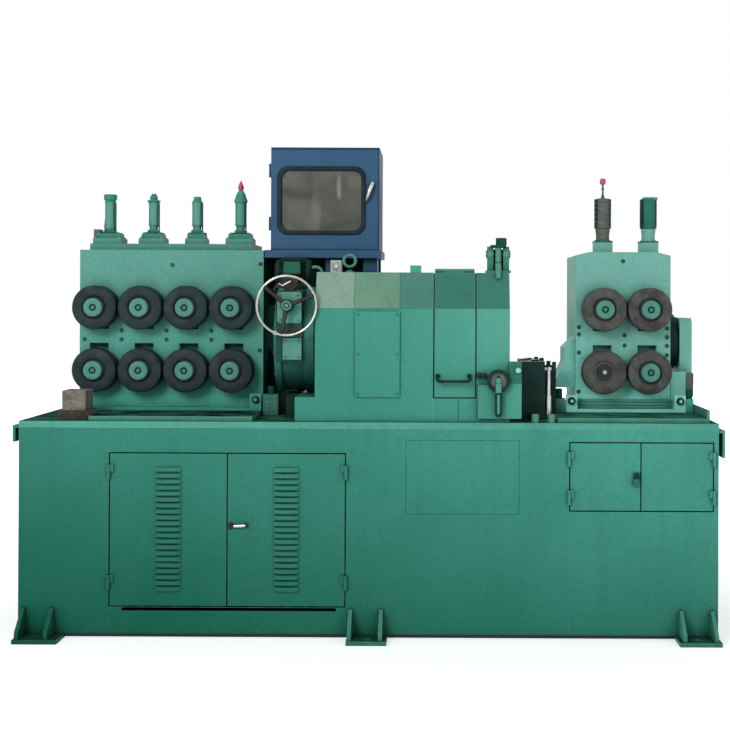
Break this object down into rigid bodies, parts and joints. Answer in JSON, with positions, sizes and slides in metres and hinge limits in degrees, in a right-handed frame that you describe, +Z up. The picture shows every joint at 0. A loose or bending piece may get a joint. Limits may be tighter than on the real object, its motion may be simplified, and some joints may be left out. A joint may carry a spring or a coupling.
{
  "type": "centerless lathe",
  "caption": "Bar-peeling machine: a welded bed with louvred doors, roller stands that pass a round bar through a peeling head, and a glazed cabinet above.",
  "frame": {"origin": "on the floor under the middle of the bed", "axes": "+X along the bar, from the eight-roller stand to the four-roller stand; -Y towards the operator; +Z up"},
  "size_m": [2.754, 1.116, 1.934],
  "materials": {
    "green_paint": "semi-gloss",
    "roller_steel": "worn dark",
    "blue_paint": "satin",
    "glass": "smoked",
    "dark_paint": "satin",
    "handwheel_steel": "polished",
    "chrome": "polished",
    "red_plastic": "gloss",
    "grey_steel": "worn"
  },
  "bodies": {
    "root": {"bed_back_wall": "green_paint", "bed_bulkheads": "green_paint", "bed_end_plates": "green_paint", "bed_floor": "green_paint", "bed_top": "green_paint", "cabinet_case": "blue_paint", "cabinet_stand": "blue_paint", "clamp_bracket": "green_paint", "fitting_caps": "red_plastic", "foot_brackets": "green_paint", "front_wall_panels": "green_paint", "front_wall_rails": "green_paint", "handwheel_gearbox": "green_paint", "head_bolted_panel": "green_paint", "head_bridge": "green_paint", "head_drum": "green_paint", "head_left_block": "green_paint", "head_motor": "dark_paint", "head_right_block": "green_paint", "infeed_block": "grey_steel", "left_cylinders": "green_paint", "left_stand_housing": "green_paint", "left_stand_sole": "green_paint", "left_stand_top_plate": "green_paint", "lifting_eye": "green_paint", "outlet_box": "dark_paint", "outlet_rod": "chrome", "rear_gearbox": "green_paint", "rear_motor": "dark_paint", "right_cylinders": "green_paint", "right_stand_housing": "green_paint", "right_stand_sole": "green_paint", "top_swing_clamp": "green_paint"},
    "louver_door_left": {"louver_door_left": "green_paint"},
    "louver_door_right": {"louver_door_right": "green_paint"},
    "hatch_door_left": {"hatch_door_left": "green_paint"},
    "hatch_door_right": {"hatch_door_right": "green_paint"},
    "cabinet_door": {"cabinet_door": "blue_paint", "cabinet_glass": "glass"},
    "head_door": {"head_door": "green_paint", "head_door_handle": "green_paint"},
    "handwheel": {"handwheel": "handwheel_steel"},
    "clamp_lever": {"clamp_lever": "green_paint"},
    "left_slide": {"left_slide_blocks": "grey_steel"},
    "right_slide": {"right_slide_blocks": "grey_steel"},
    "left_lower_roller_1": {"left_lower_roller_1": "roller_steel"},
    "left_lower_roller_2": {"left_lower_roller_2": "roller_steel"},
    "left_lower_roller_3": {"left_lower_roller_3": "roller_steel"},
    "left_lower_roller_4": {"left_lower_roller_4": "roller_steel"},
    "left_upper_roller_1": {"left_upper_roller_1": "roller_steel"},
    "left_upper_roller_2": {"left_upper_roller_2": "roller_steel"},
    "left_upper_roller_3": {"left_upper_roller_3": "roller_steel"},
    "left_upper_roller_4": {"left_upper_roller_4": "roller_steel"},
    "right_lower_roller_1": {"right_lower_roller_1": "roller_steel"},
    "right_lower_roller_2": {"right_lower_roller_2": "roller_steel"},
    "right_upper_roller_1": {"right_upper_roller_1": "roller_steel"},
    "right_upper_roller_2": {"right_upper_roller_2": "roller_steel"}
  },
  "joints": [
    {"name": "louver_door_left_hinge", "type": "hinge", "parent": "root", "child": "louver_door_left", "pos_m": [-1.002, -0.4573, 0.4], "axis": [0, 0, -1], "range_deg": [0, 110]},
    {"name": "louver_door_right_hinge", "type": "hinge", "parent": "root", "child": "louver_door_right", "pos_m": [-0.087, -0.4573, 0.4], "axis": [0, 0, 1], "range_deg": [0, 110]},
    {"name": "hatch_door_left_hinge", "type": "hinge", "parent": "root", "child": "hatch_door_left", "pos_m": [0.773, -0.4573, 0.4], "axis": [0, 0, -1], "range_deg": [0, 110]},
    {"name": "hatch_door_right_hinge", "type": "hinge", "parent": "root", "child": "hatch_door_right", "pos_m": [1.332, -0.4573, 0.4], "axis": [0, 0, 1], "range_deg": [0, 110]},
    {"name": "cabinet_door_hinge", "type": "hinge", "parent": "root", "child": "cabinet_door", "pos_m": [-0.433, -0.0747, 1.7], "axis": [0, 0, -1], "range_deg": [0, 110]},
    {"name": "head_door_hinge", "type": "hinge", "parent": "root", "child": "head_door", "pos_m": [0.3305, -0.26, 1.4233], "axis": [-1, 0, 0], "range_deg": [0, 100]},
    {"name": "handwheel_spin", "type": "hinge", "parent": "root", "child": "handwheel", "pos_m": [-0.32, -0.448, 1.283], "axis": [0, 1, 0], "continuous": true},
    {"name": "clamp_lever_turn", "type": "hinge", "parent": "root", "child": "clamp_lever", "pos_m": [0.498, -0.472, 0.997], "axis": [0, -1, 0], "range_deg": [0, 90]},
    {"name": "left_slide_press", "type": "slide", "parent": "root", "child": "left_slide", "axis": [0, 0, -1], "range_m": [0, 0.05]},
    {"name": "right_slide_press", "type": "slide", "parent": "root", "child": "right_slide", "axis": [0, 0, -1], "range_m": [0, 0.05]},
    {"name": "left_lower_roller_1_spin", "type": "hinge", "parent": "root", "child": "left_lower_roller_1", "pos_m": [-1.132, -0.16, 1.016], "axis": [0, 1, 0], "continuous": true},
    {"name": "left_lower_roller_2_spin", "type": "hinge", "parent": "root", "child": "left_lower_roller_2", "pos_m": [-0.947, -0.16, 1.016], "axis": [0, 1, 0], "continuous": true},
    {"name": "left_lower_roller_3_spin", "type": "hinge", "parent": "root", "child": "left_lower_roller_3", "pos_m": [-0.762, -0.16, 1.016], "axis": [0, 1, 0], "continuous": true},
    {"name": "left_lower_roller_4_spin", "type": "hinge", "parent": "root", "child": "left_lower_roller_4", "pos_m": [-0.577, -0.16, 1.016], "axis": [0, 1, 0], "continuous": true},
    {"name": "left_upper_roller_1_spin", "type": "hinge", "parent": "left_slide", "child": "left_upper_roller_1", "pos_m": [-1.132, -0.16, 1.271], "axis": [0, 1, 0], "continuous": true},
    {"name": "left_upper_roller_2_spin", "type": "hinge", "parent": "left_slide", "child": "left_upper_roller_2", "pos_m": [-0.947, -0.16, 1.271], "axis": [0, 1, 0], "continuous": true},
    {"name": "left_upper_roller_3_spin", "type": "hinge", "parent": "left_slide", "child": "left_upper_roller_3", "pos_m": [-0.762, -0.16, 1.271], "axis": [0, 1, 0], "continuous": true},
    {"name": "left_upper_roller_4_spin", "type": "hinge", "parent": "left_slide", "child": "left_upper_roller_4", "pos_m": [-0.577, -0.16, 1.271], "axis": [0, 1, 0], "continuous": true},
    {"name": "right_lower_roller_1_spin", "type": "hinge", "parent": "root", "child": "right_lower_roller_1", "pos_m": [0.941, -0.16, 1.016], "axis": [0, 1, 0], "continuous": true},
    {"name": "right_lower_roller_2_spin", "type": "hinge", "parent": "root", "child": "right_lower_roller_2", "pos_m": [1.126, -0.16, 1.016], "axis": [0, 1, 0], "continuous": true},
    {"name": "right_upper_roller_1_spin", "type": "hinge", "parent": "right_slide", "child": "right_upper_roller_1", "pos_m": [0.941, -0.16, 1.271], "axis": [0, 1, 0], "continuous": true},
    {"name": "right_upper_roller_2_spin", "type": "hinge", "parent": "right_slide", "child": "right_upper_roller_2", "pos_m": [1.126, -0.16, 1.271], "axis": [0, 1, 0], "continuous": true}
  ],
  "couplings": [
    {"joint": "left_lower_roller_2_spin", "follows": "left_lower_roller_1_spin", "ratio": 1},
    {"joint": "left_lower_roller_3_spin", "follows": "left_lower_roller_1_spin", "ratio": 1},
    {"joint": "left_lower_roller_4_spin", "follows": "left_lower_roller_1_spin", "ratio": 1},
    {"joint": "left_upper_roller_1_spin", "follows": "left_lower_roller_1_spin", "ratio": -1},
    {"joint": "left_upper_roller_2_spin", "follows": "left_lower_roller_1_spin", "ratio": -1},
    {"joint": "left_upper_roller_3_spin", "follows": "left_lower_roller_1_spin", "ratio": -1},
    {"joint": "left_upper_roller_4_spin", "follows": "left_lower_roller_1_spin", "ratio": -1},
    {"joint": "right_lower_roller_2_spin", "follows": "right_lower_roller_1_spin", "ratio": 1},
    {"joint": "right_upper_roller_1_spin", "follows": "right_lower_roller_1_spin", "ratio": -1},
    {"joint": "right_upper_roller_2_spin", "follows": "right_lower_roller_1_spin", "ratio": -1}
  ]
}
